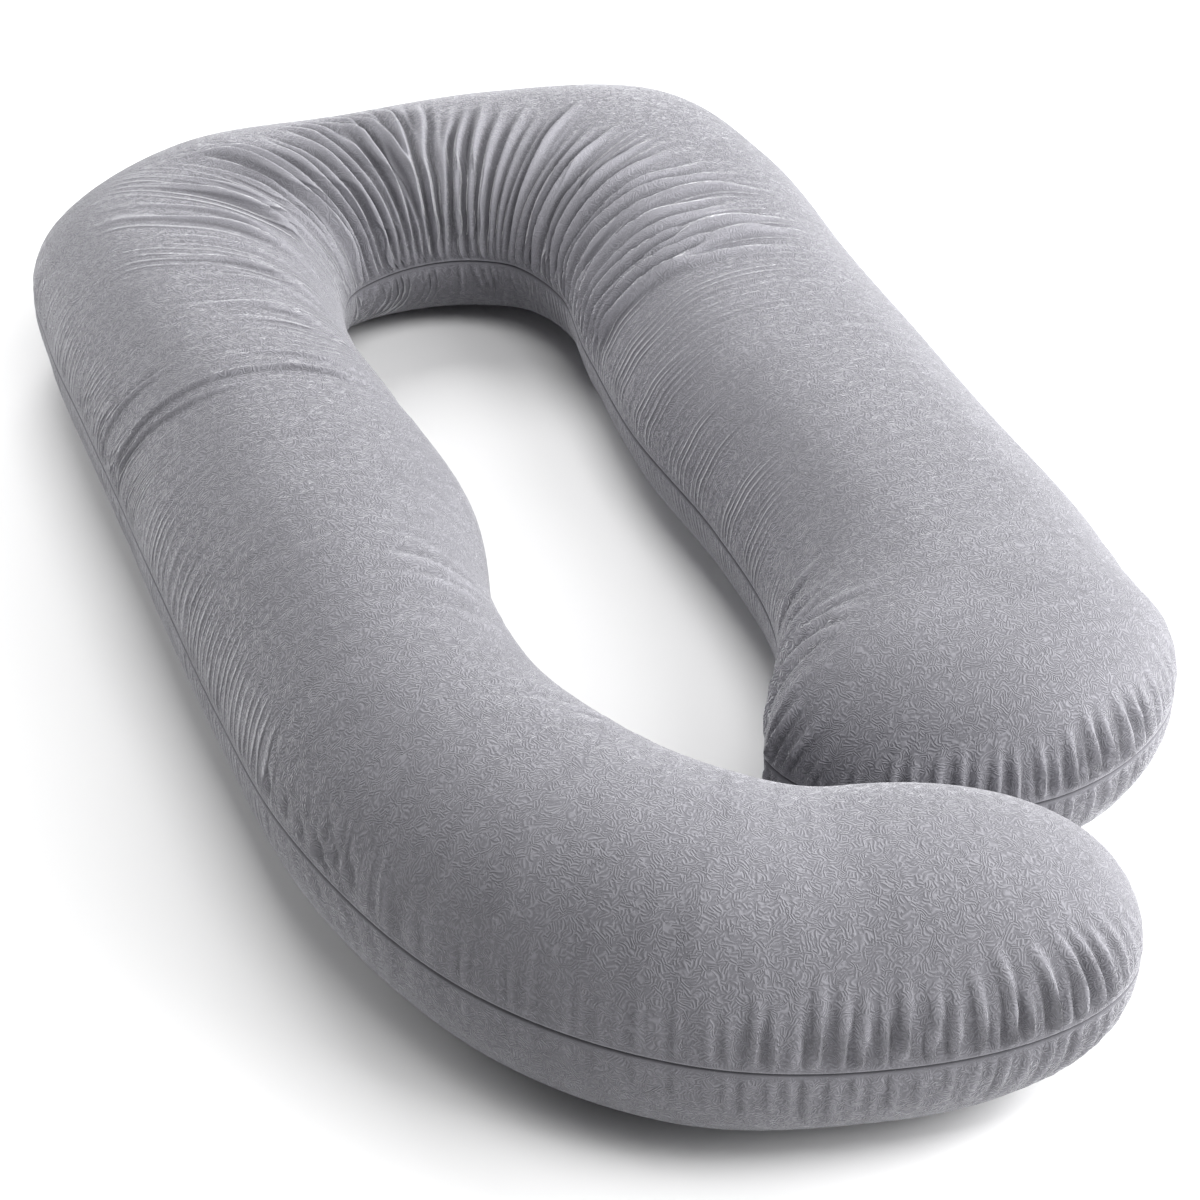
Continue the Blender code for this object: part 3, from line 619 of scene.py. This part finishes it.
def seam_relief(points):
    """The seam's own section: the cover pinched in, a fine groove and a rolled edge on each side."""
    steps = np.linalg.norm(np.diff(points, axis=1), axis=2)
    run = np.concatenate([np.zeros((len(points), 1)), np.cumsum(steps, axis=1)], axis=1)
    off = run - run[:, SEAM_INDEX:SEAM_INDEX + 1]
    relief = -SEAM_PINCH * bell(off, SEAM_PINCH_WIDTH) - SEAM_GROOVE * bell(off, SEAM_GROOVE_WIDTH)
    relief += ROLLED_EDGE * bell(np.abs(off) - ROLLED_EDGE_OFFSET, ROLLED_EDGE_WIDTH)
    return relief, off


def calmness(columns):
    """The share of the folds' height that stays where the filling presses the cover smooth."""
    kept = np.ones(columns.place.shape)
    for calm in CALM:
        first, last = sorted(seam_place(calm.part, [calm.first, calm.last]))
        beside = within(first, last, CALM_MARGIN, columns.place)
        kept *= 1 - calm.share * beside * within(calm.low, calm.high, MARGIN_DEGREES, ANGLES)
    return kept


def gather_fade(gather, angle):
    """The share of a gather's height at each angle round the section, and on under the seams."""
    under, beyond, held = np.maximum(-angle, 0), np.maximum(angle - 180, 0), np.clip(angle, 0, 180)
    to_outer_seam = gather.end >= AT_OUTER_SEAM
    fade = 1 if to_outer_seam else 1 - smooth_step(*(gather.end + np.array(FADE_OUT)), angle)
    if gather.end < PAST_CROWN:
        fade = fade * (1 - CROWN_FADE_SHARE * smooth_step(*CROWN_FADE, angle))
    if gather.start > AT_INNER_SEAM:
        fade = fade * smooth_step(*(gather.start + np.array(FADE_IN)), angle)
    fade = fade * smooth_step(*SEAM_FADE, held) * smooth_step(*SEAM_FADE, 180 - held)
    fade = fade * (SEAM_SIDE_SHARE + (1 - SEAM_SIDE_SHARE) * smooth_step(*SEAM_SIDE, held))
    first, last = GATHERED_UNDER_SEAM
    goes_under = gather.start <= AT_INNER_SEAM and first < gather.places[0] < last
    for past, goes_on in ((under, goes_under), (beyond, to_outer_seam)):
        if goes_on:
            rise, fall = smooth_step(*UNDER_SEAM_RISE, past), 1 - smooth_step(*UNDER_SEAM_FALL, past)
            fade = fade + UNDER_SEAM_SHARE * rise * fall
    return fade


def gather_relief(columns, along, around, gathers, angles, scale):
    """Heights of the gathers, whose places are given at these angles."""
    relief = np.zeros(along.shape)
    own_row = np.where(columns.side != 0, columns.rows[:, 0], -np.inf)
    for gather in gathers:
        low, high = min(gather.places) - GATHER_ROWS, max(gather.places) + GATHER_ROWS
        chosen = np.flatnonzero((own_row > low) & (own_row < high))
        angle = columns.round_angle[chosen]
        held = np.clip(angle, 0, 180)
        before, here, after = (
            smooth_path(angles, gather.places, held + step) for step in (-0.5, 0, 0.5)
        )
        place = here - gather.lean * UNDER_SEAM_LEAN * np.maximum(-angle, 0)
        slant = (after - before) * along[chosen] / around[chosen]
        across = (columns.rows[chosen] - place) * along[chosen] / np.sqrt(1 + slant**2)
        width = np.interp(np.minimum(held, 180 - held), (0, 90), GATHER_CREST) * gather.broad
        width = width * (0.7 + 0.3 * min(gather.height / STRONG_GATHER, 1.2))
        shape = ridge(across, width, gather.lean)
        relief[chosen] += scale * gather.height / 1000 * gather_fade(gather, angle) * shape
    return relief


def edging_puckers(edging, columns, seam_points):
    """Small puckers at even distances on the cloth, each a little different."""
    first, last = sorted(seam_place(edging.part, [edging.first, edging.last]))
    run = np.linalg.norm(np.diff(seam_points, axis=0), axis=1)
    length = np.concatenate([[0], np.cumsum(run)])
    seam_places = columns.place[:, SEAM_INDEX]
    start, stop = np.interp([first, last], seam_places, length)
    number = max(int(round((stop - start) / edging.pitch)), 1)
    for index in range(number):
        uneven = (index * GOLDEN) % 1
        other = (index * GOLDEN * GOLDEN * 7) % 1
        mark = start + (index + 0.5 + 0.5 * (uneven - 0.5)) * (stop - start) / number
        place = np.interp(mark, length, seam_places)
        height = edging.height * (0.5 + uneven)
        reach = edging.reach * (0.55 + 0.75 * other)
        yield Pucker(edging.part, place, height, reach, edging.lean * (0.7 + 0.6 * uneven))


def pucker_relief(columns, points, along):
    """Heights of the puckers along the seam."""
    relief = np.zeros(along.shape)
    marks = [
        Pucker(part, seam_place(part, place), *rest)
        for part, rows in PUCKERS.items()
        for place, *rest in rows
    ]
    for edging in EDGINGS:
        marks += edging_puckers(edging, columns, points[:, SEAM_INDEX])
    above, under = np.maximum(ANGLES, 0), np.maximum(-ANGLES, 0)
    half = 0.5 * SEAM_ROWS
    turns = {"outer": 1, "inner": -1, "hook_end": END_ROWS / 180, "arm_end": -END_ROWS / 180}
    for part, place, height, reach, lean in marks:
        away = (columns.place - place + half) % SEAM_ROWS - half
        chosen = np.flatnonzero(np.abs(away[:, SEAM_INDEX]) < PUCKER_ROWS)
        shift = turns[part] * lean * (above - 0.8 * under)
        across = (away[chosen] - shift[None, :]) * along[chosen]
        width = PUCKER_CREST * (0.65 + 0.35 * min(height / STRONG_PUCKER, 1)) * (1 + above / 60)
        reach = PUCKER_REACH_SCALE[part] * reach
        fade = smooth_step(*PUCKER_RISE, above)
        fade *= 1 - smooth_step(PUCKER_WHOLE_REACH * reach, reach, above)
        below = UNDER_PUCKER_SHARE * smooth_step(*UNDER_PUCKER_RISE, under)
        fade += below * (1 - smooth_step(UNDER_PUCKER_RISE[1], UNDER_PUCKER_REACH * reach, under))
        shape = PUCKER_CREST_SHARE * bell(across, width)
        shape = shape - valley_at(PUCKER_VALLEY, np.abs(across), width)
        relief[chosen] += PUCKER_SCALE * height / 1000 * fade[None, :] * shape
    return relief


def filling_run(shell, held):
    """A short cloth run with air pressure in the closed cover, held at some of its points."""
    shell.vertex_groups.new(name="held").add(held, 1.0, "REPLACE")
    cloth = shell.modifiers.new("filling", "CLOTH").settings
    cloth.quality = FILLING_QUALITY
    cloth.mass = FILLING_POINT_MASS
    cloth.tension_stiffness = cloth.compression_stiffness = FILLING_STIFFNESS
    cloth.use_pressure = True
    cloth.uniform_pressure_force = FILLING_PRESSURE
    cloth.effector_weights.gravity = 0
    cloth.vertex_group_mass = "held"
    for moment in range(1, FILLING_FRAMES + 1):
        bpy.context.scene.frame_set(moment)
    filled = shell.evaluated_get(bpy.context.evaluated_depsgraph_get())
    points = read_vectors(filled.to_mesh().vertices, "co")
    filled.to_mesh_clear()
    bpy.context.scene.frame_set(1)
    return points


def filling_relief(columns):
    """How far the filling pushes the cover out or lets it in, from a cloth run on a sparse copy."""
    sparse = Columns(body_rows(FILLING_STRETCHES), FILLING_END_COLUMNS)
    fixed = [SEAM_INDEX, len(ANGLES) - 1]
    steps = np.unique(np.append(np.arange(0, len(ANGLES), FILLING_ANGLE_STEP), fixed))
    shell, number = shell_mesh("filling_run", sparse, sparse.points()[:, steps])
    mesh = shell.data
    normals = read_vectors(mesh.vertex_normals, "vector")
    start = read_vectors(mesh.vertices, "co") - FILLING_SLACK * normals
    mesh.vertices.foreach_set("co", start.ravel())
    mesh.update()
    held = number[:, np.isin(steps, fixed)]
    filled = filling_run(shell, np.unique(held).tolist())
    pushed = np.einsum("ij,ij->i", filled - start, normals)[number]
    bpy.data.objects.remove(shell)
    bpy.data.meshes.remove(mesh)
    uneven = np.clip(pushed - np.median(pushed, axis=0), -FILLING_CAP, FILLING_CAP)
    places = sparse.place[:, 0] % SEAM_ROWS
    order = np.argsort(places)
    knots = np.concatenate([places[order] + turn * SEAM_ROWS for turn in (-1, 0, 1)])
    wanted = columns.place[:, 0] % SEAM_ROWS
    along = [smooth_path(knots, np.tile(values[order], 3), wanted) for values in uneven.T]
    return np.array([smooth_path(-ANGLES[steps], values, -ANGLES) for values in zip(*along)])


def pillow_cover():
    columns = Columns(body_rows(BODY_STRETCHES), END_COLUMNS)
    points = columns.points()
    cover, number = shell_mesh("velvet_pillow_cover", columns, points)
    normals = read_vectors(cover.data.vertex_normals, "vector")[number]
    along, around = cloth_measures(columns, points)
    seam, off = seam_relief(points)
    folds = gather_relief(columns, along, around, GATHERS, GATHER_ANGLES, GATHER_SCALE)
    folds += gather_relief(columns, along, around, CREASES, CREASE_ANGLES, CREASE_SCALE)
    folds += pucker_relief(columns, points, along)
    folds *= calmness(columns)
    relief = seam + folds + filling_relief(columns)
    standing = smooth_step(0, CLEAR_OF_FLOOR, points[:, :, 2])
    moved = points + normals * (relief * standing)[:, :, None]
    moved[:, :, 2] = np.maximum(moved[:, :, 2], 0)
    coordinates = np.empty((len(cover.data.vertices), 3))
    coordinates[number.ravel()] = moved.reshape(-1, 3)
    cover.data.vertices.foreach_set("co", coordinates.ravel())
    cover.data.update()
    set_velvet_attributes(cover.data, number, columns, points, off, folds)
    return cover


def pleat_lay(columns, points, off):
    """Metres along the inner seam and up from it, carried over the crown and on round both ends."""
    count, first = columns.count, columns.inner_start
    inner = slice(first + count - 1, first - 1, -1)
    seam = points[inner, SEAM_INDEX]
    run = np.concatenate([[0], np.cumsum(np.linalg.norm(np.diff(seam, axis=0), axis=1))])
    from_crown = off - off[:, :1]
    to_crown = -off[inner, 0]
    turns = np.radians(columns.turns)
    quarter = np.full(count, np.pi / 2)
    lay = np.zeros(points.shape)
    for part, forward, turned, start, rise in (
        (slice(0, count), 0, quarter, run, to_crown),
        (slice(count, first), 1, turns, run[-1:], to_crown[-1:]),
        (inner, 0, -quarter, run, to_crown),
        (slice(first + count, None), -1, turns[::-1], run[:1], to_crown[:1]),
    ):
        lay[part, :, 0] = start[:, None] + forward * np.cos(turned)[:, None] * from_crown[part]
        lay[part, :, 1] = rise[:, None] + np.sin(turned)[:, None] * from_crown[part]
    return lay


def patch_share(columns, kind):
    """Where the patches of this kind lie on the cover, from 0 to 1, with soft edges."""
    rows = np.nan_to_num(columns.rows, nan=0.0)
    share = np.zeros(rows.shape)
    for patch in (patch for patch in PATCHES if patch.kind == kind):
        inside = patch.share * (columns.side[:, None] != 0)
        inside = inside * within(patch.first, patch.last, PATCH_MARGIN, rows)
        inside = inside * within(patch.low, patch.high, MARGIN_DEGREES, columns.round_angle)
        share = np.maximum(share, inside)
    return share


def fold_shading(folds):
    """Painted highlights on the folds' crests and painted shade in their valleys, from -1 to 1."""
    steps = range(-FOLD_EDGE_REACH, FOLD_EDGE_REACH + 1)
    beside = sum(np.roll(folds, step, axis=0) for step in steps) / len(steps)
    edges = np.tanh((folds - beside) / FOLD_EDGE_HEIGHT)
    edges = np.where(edges > 0, CREST_GAIN, VALLEY_GAIN) * edges
    return (1 - FOLD_EDGE_SHARE) * np.tanh(folds / FOLD_SHADE_HEIGHT) + FOLD_EDGE_SHARE * edges


def set_velvet_attributes(mesh, number, columns, points, off, folds):
    """Attributes that the velvet reads: the pleats' lay and shares, the painted light and shade of the
    folds and under the inner seam, and what lies by the seam: a painted shade along its groove, a
    painted highlight on its rolled edge and the pressed pile.
    """
    lay = np.zeros((len(mesh.vertices), 3), np.float32)
    lay[number.ravel()] = pleat_lay(columns, points, off).reshape(-1, 3)
    mesh.attributes.new("pleat_lay", "FLOAT_VECTOR", "POINT").data.foreach_set("vector", lay.ravel())
    clear_of_seam = smooth_step(0.5, 4, np.abs(ANGLES))
    for name, values in (
        ("fine_pleats", patch_share(columns, "fine_pleats") * clear_of_seam),
        ("broad_pleats", patch_share(columns, "broad_pleats") * clear_of_seam),
        # Painted fold highlights and shade, less the painted shade under the inner seam.
        ("painted_light_and_shade", fold_shading(folds) - patch_share(columns, "painted_under_seam_shade")),
        # Painted shade along the seam's groove.
        ("seam_line", bell(off, SEAM_LINE_WIDTH)),
        # Painted highlight on the rolled edge above the seam.
        ("seam_edge", bell(off + SEAM_EDGE_OFFSET, SEAM_LINE_WIDTH)),
        ("pile_share", 1 - bell(off, PRESSED_PILE_WIDTH)),
    ):
        flat = np.zeros(len(mesh.vertices), np.float32)
        flat[number.ravel()] = values.ravel()
        mesh.attributes.new(name, "FLOAT", "POINT").data.foreach_set("value", flat)


# ------------ velvet
PILE_HEIGHT = 0.00045
# Strokes of pressed pile: metres apart, patches a metre, and how they bend.
STROKE_SPACING = 0.0020
STROKE_PATCHES = 235
STROKE_BEND = 0.007
STROKE_BEND_SCALE = 110
STROKE_CONTRAST = 1.3
STROKES_LOST_ON_PLEATS = 0.6
PILE_BREAKS = 230
PILE_BREAK_RANGE = (0.20, 0.52)
# Soft lines of brushed nap across the pillow: their scales, and rise in pile heights.
NAP_LINES = (120, 9, 1)
NAP_RISE = 2.0
FIBRE_ENDS = 900
FIBRE_RISE = 0.1
FIBRE_GLINT_RANGE = (0.70, 0.78)
FIBRE_GLINT_SHARE = 0.4
# Pitch, height, wander and coming and going of the pleats.
PleatSet = namedtuple("PleatSet", "share pitch height wander strength")
PLEAT_SETS = (
    PleatSet("fine_pleats", 0.0072, 0.0026, (45, 3, 1), (32, 4.5, 1)),
    PleatSet("broad_pleats", 0.0098, 0.0027, (30, 2.5, 1), (24, 4, 1)),
)
PLEAT_SHARPNESS = 3.0
PLEAT_WANDER = 9.0
PLEAT_STRENGTH_RANGE = (0.34, 0.68)
# Painted highlights on the folds' crests and painted shade in their valleys: a broad shade, and their
# edges within some columns.
FOLD_SHADE_HEIGHT = 0.004
FOLD_EDGE_REACH = 5
FOLD_EDGE_HEIGHT = 0.0014
FOLD_EDGE_SHARE = 0.6
CREST_GAIN = 1.6
VALLEY_GAIN = 0.75
# What each pattern adds to the tone, which runs from dark pile to light pile.
BARE_TONE = -0.13
STROKE_TONE = 0.75
NAP_TONE = 0.5
# PLEAT_TONE paints highlights on the pleats' crests, and PLEATED_PLACE_TONE paints shade over the
# pleated places.
PLEAT_TONE = 0.5
PLEATED_PLACE_TONE = -0.4
# FOLD_TONE: how much of the painted fold highlights and shade, and the painted shade under the inner
# seam, goes into the tone.
FOLD_TONE = 0.6
PILE_DARK = (0.162, 0.160, 0.177, 1)
PILE_LIGHT = (0.268, 0.265, 0.290, 1)
FIBRE_GLINT = (0.55, 0.55, 0.58, 1)
# SEAM_DARK: painted shade along the seam's groove.
SEAM_DARK = (0.040, 0.039, 0.045, 1)
# SEAM_PALE and SEAM_EDGE_SHARE: colour and share of the painted highlight on the rolled edge above the
# seam.
SEAM_PALE = (0.36, 0.355, 0.385, 1)
SEAM_EDGE_SHARE = 0.6


def set_inputs(node, values):
    for name, value in values.items():
        node.inputs[name].default_value = value


class Pattern:
    """Short calls for the nodes of one material."""

    def __init__(self, material):
        self.nodes, self.links = material.node_tree.nodes, material.node_tree.links

    def node(self, kind, values, output, **settings):
        """A node's output, once its sockets are set to numbers and colours or linked to others."""
        node = self.nodes.new("ShaderNode" + kind)
        for name, setting in settings.items():
            setattr(node, name, setting)
        for socket, value in values.items():
            if isinstance(value, (int, float, tuple)):
                node.inputs[socket].default_value = value
            else:
                self.links.new(value, node.inputs[socket])
        return node.outputs[output]

    def attribute(self, name, output="Fac"):
        return self.node("Attribute", {}, output, attribute_name=name)

    def stretched(self, vector, scale):
        return self.node("Mapping", {"Vector": vector, "Scale": scale}, "Vector")

    def noise(self, label, vector, scale=1.0, detail=1.0, output="Fac"):
        values = {"Vector": vector, "Scale": scale, "Detail": detail}
        return self.node("TexNoise", values, output, label=label)

    def maths(self, operation, *values):
        return self.node("Math", dict(enumerate(values)), 0, operation=operation)

    def vector_maths(self, operation, *values):
        output = "Value" if operation == "DOT_PRODUCT" else "Vector"
        return self.node("VectorMath", dict(enumerate(values)), output, operation=operation)

    def spread(self, low, high, value):
        values = {"Value": value, "From Min": low, "From Max": high}
        return self.node("MapRange", values, "Result", interpolation_type="SMOOTHSTEP")

    def mixed(self, factor, first, second):
        """Two colours mixed. The Mix node has its colour sockets at 6 and 7."""
        return self.node("Mix", {0: factor, 6: first, 7: second}, 2, data_type="RGBA")

    def wave(self, turns):
        return self.maths("MULTIPLY_ADD", self.maths("SINE", turns), 0.5, 0.5)

    def pressed_pile(self, where):
        """Short curved strokes of pile, parallel in each small patch of its own direction."""
        bend = self.noise("stroke bend", where, STROKE_BEND_SCALE, 0, output="Color")
        bent = self.vector_maths("MULTIPLY_ADD", bend, (STROKE_BEND,) * 3, where)
        patches = self.node("TexVoronoi", {"Vector": bent, "Scale": STROKE_PATCHES}, "Color")
        way = self.vector_maths("SUBTRACT", patches, (0.5, 0.5, 0.5))
        run = self.vector_maths("DOT_PRODUCT", bent, self.vector_maths("NORMALIZE", way))
        return self.wave(self.maths("MULTIPLY", run, 2 * np.pi / STROKE_SPACING))

    def pleat_sets(self, lay):
        """The pleats' crests, how pleated each place is, and their rise in pile heights."""
        run = self.node("SeparateXYZ", {0: lay}, "X")
        sets = []
        for kind in PLEAT_SETS:
            wander = self.noise(kind.share + " wander", self.stretched(lay, kind.wander))
            turns = self.maths("MULTIPLY", run, 2 * np.pi / kind.pitch)
            wave = self.wave(self.maths("MULTIPLY_ADD", wander, PLEAT_WANDER, turns))
            strength = self.noise(kind.share + " come and go", self.stretched(lay, kind.strength))
            strength = self.spread(*PLEAT_STRENGTH_RANGE, strength)
            share = self.maths("MULTIPLY", strength, self.attribute(kind.share))
            crest = self.maths("MULTIPLY", self.maths("POWER", wave, PLEAT_SHARPNESS), share)
            sets.append((crest, share, self.maths("MULTIPLY", crest, kind.height / PILE_HEIGHT)))
        return tuple(self.maths("ADD", *pair) for pair in zip(*sets))


def velvet():
    material = bpy.data.materials.new("velvet_cover")
    material.use_nodes = True
    pattern = Pattern(material)
    maths = pattern.maths
    where = pattern.node("TexCoord", {}, "Object")
    lay_over = pattern.attribute("pleat_lay", "Vector")
    pleats, pleated, pleat_rise = pattern.pleat_sets(lay_over)
    breaks = pattern.noise("pile comes and goes", where, PILE_BREAKS)
    breaks = pattern.spread(*PILE_BREAK_RANGE, breaks)
    between = maths("MULTIPLY_ADD", pleated, -STROKES_LOST_ON_PLEATS, 1.0)
    strokes = maths("POWER", pattern.pressed_pile(where), STROKE_CONTRAST)
    for share in (breaks, between, pattern.attribute("pile_share")):
        strokes = maths("MULTIPLY", strokes, share)
    nap = pattern.noise("brushed nap", pattern.stretched(lay_over, NAP_LINES))
    fibre = pattern.noise("fibre ends", where, FIBRE_ENDS)

    height = maths("MULTIPLY_ADD", fibre, FIBRE_RISE, strokes)
    height = maths("MULTIPLY_ADD", nap, NAP_RISE, height)
    height = maths("ADD", pleat_rise, height)
    bump = {"Strength": 1.0, "Distance": PILE_HEIGHT, "Height": height}

    tone = maths("MULTIPLY_ADD", strokes, STROKE_TONE, BARE_TONE)
    tone = maths("MULTIPLY_ADD", nap, NAP_TONE, tone)
    # Painted highlights on the pleats' crests and painted shade over the pleated places.
    pleats = maths("MULTIPLY_ADD", pleated, PLEATED_PLACE_TONE, pleats)
    tone = maths("MULTIPLY_ADD", pleats, PLEAT_TONE, tone)
    # Painted highlights on the folds' crests, painted shade in their valleys and painted shade under
    # the inner seam.
    tone = maths("MULTIPLY_ADD", pattern.attribute("painted_light_and_shade"), FOLD_TONE, tone)
    glint = maths("MULTIPLY", pattern.spread(*FIBRE_GLINT_RANGE, fibre), FIBRE_GLINT_SHARE)
    seam_edge = maths("MULTIPLY", pattern.attribute("seam_edge"), SEAM_EDGE_SHARE)
    colour = pattern.mixed(tone, PILE_DARK, PILE_LIGHT)
    colour = pattern.mixed(glint, colour, FIBRE_GLINT)
    # Painted highlight on the rolled edge above the seam.
    colour = pattern.mixed(seam_edge, colour, SEAM_PALE)
    # Painted shade along the seam's groove.
    colour = pattern.mixed(pattern.attribute("seam_line"), colour, SEAM_DARK)

    shader = pattern.nodes["Principled BSDF"]
    pattern.links.new(pattern.node("Bump", bump, "Normal"), shader.inputs["Normal"])
    pattern.links.new(colour, shader.inputs["Base Color"])
    set_inputs(shader, {
        "Roughness": 0.85,
        "Specular IOR Level": 0.25,
        "Sheen Weight": 0.65,
        "Sheen Roughness": 0.27,
        "Sheen Tint": (0.96, 0.96, 1.0, 1),
    })
    return material


cover = pillow_cover()
cover.data.materials.append(velvet())
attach(cover, "root")
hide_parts("body_pillow")


# ------------ studio
FLOOR_SIZE = 16
FLOOR_GAP = 0.0005
SOFTBOX_SIZE = 1.6
SOFTBOXES = (
    ("right_softbox", (3.01, 0.00, 1.09), 156),
    ("right_front_softbox", (2.13, -2.13, 1.09), 41),
    ("right_front_top_softbox", (1.60, -1.60, 2.26), 49),
    ("left_back_softbox", (-2.13, 2.13, 1.09), 50),
    ("back_softbox", (0.0, 2.26, 2.26), 54),
    ("front_top_softbox", (0.0, -1.20, 2.97), 47),
)
CAMERA_PLACE = Vector((-0.682, -1.906, 1.440))
CAMERA_AZIMUTH = -20.13
CAMERA_ELEVATION = 35.57
CAMERA_ROLL = 0.2
CAMERA_LENS = 84.0
CAMERA_SENSOR = 36


def studio_floor():
    bpy.ops.mesh.primitive_plane_add(size=FLOOR_SIZE, location=(0, 0, -FLOOR_GAP))
    floor = bpy.context.object
    floor.name = "studio_floor"
    paint = bpy.data.materials.new("floor_paint")
    paint.use_nodes = True
    looks = {"Base Color": (0.9, 0.9, 0.9, 1), "Roughness": 1.0, "Specular IOR Level": 0.0}
    set_inputs(paint.node_tree.nodes["Principled BSDF"], looks)
    floor.data.materials.append(paint)


def softbox(name, place, power):
    lamp = bpy.data.lights.new(name, "AREA")
    lamp.shape = "SQUARE"
    lamp.size = SOFTBOX_SIZE
    lamp.energy = power
    holder = linked_object(name, lamp)
    holder.location = place
    holder.rotation_euler = (-Vector(place)).to_track_quat("-Z", "Y").to_euler()
    holder.visible_camera = False


def studio_camera():
    azimuth, elevation = np.radians(CAMERA_AZIMUTH), np.radians(CAMERA_ELEVATION)
    level = Vector((-np.sin(azimuth), np.cos(azimuth), 0))
    forward = level * np.cos(elevation) - Vector((0, 0, 1)) * np.sin(elevation)
    data = bpy.data.cameras.new("studio_camera")
    data.lens = CAMERA_LENS
    data.sensor_width = CAMERA_SENSOR
    holder = linked_object("studio_camera", data)
    roll = Matrix.Rotation(np.radians(CAMERA_ROLL), 3, "Z")
    turn = forward.to_track_quat("-Z", "Y").to_matrix() @ roll
    holder.matrix_world = Matrix.Translation(CAMERA_PLACE) @ turn.to_4x4()
    bpy.context.scene.camera = holder


def studio_light():
    for light in SOFTBOXES:
        softbox(*light)
    world = bpy.data.worlds.new("studio_light")
    world.use_nodes = True
    set_inputs(world.node_tree.nodes["Background"], {"Color": (1, 1, 1, 1), "Strength": 0.07})
    bpy.context.scene.world = world
    bpy.context.scene.view_settings.view_transform = "Standard"


studio_floor()
studio_light()
studio_camera()
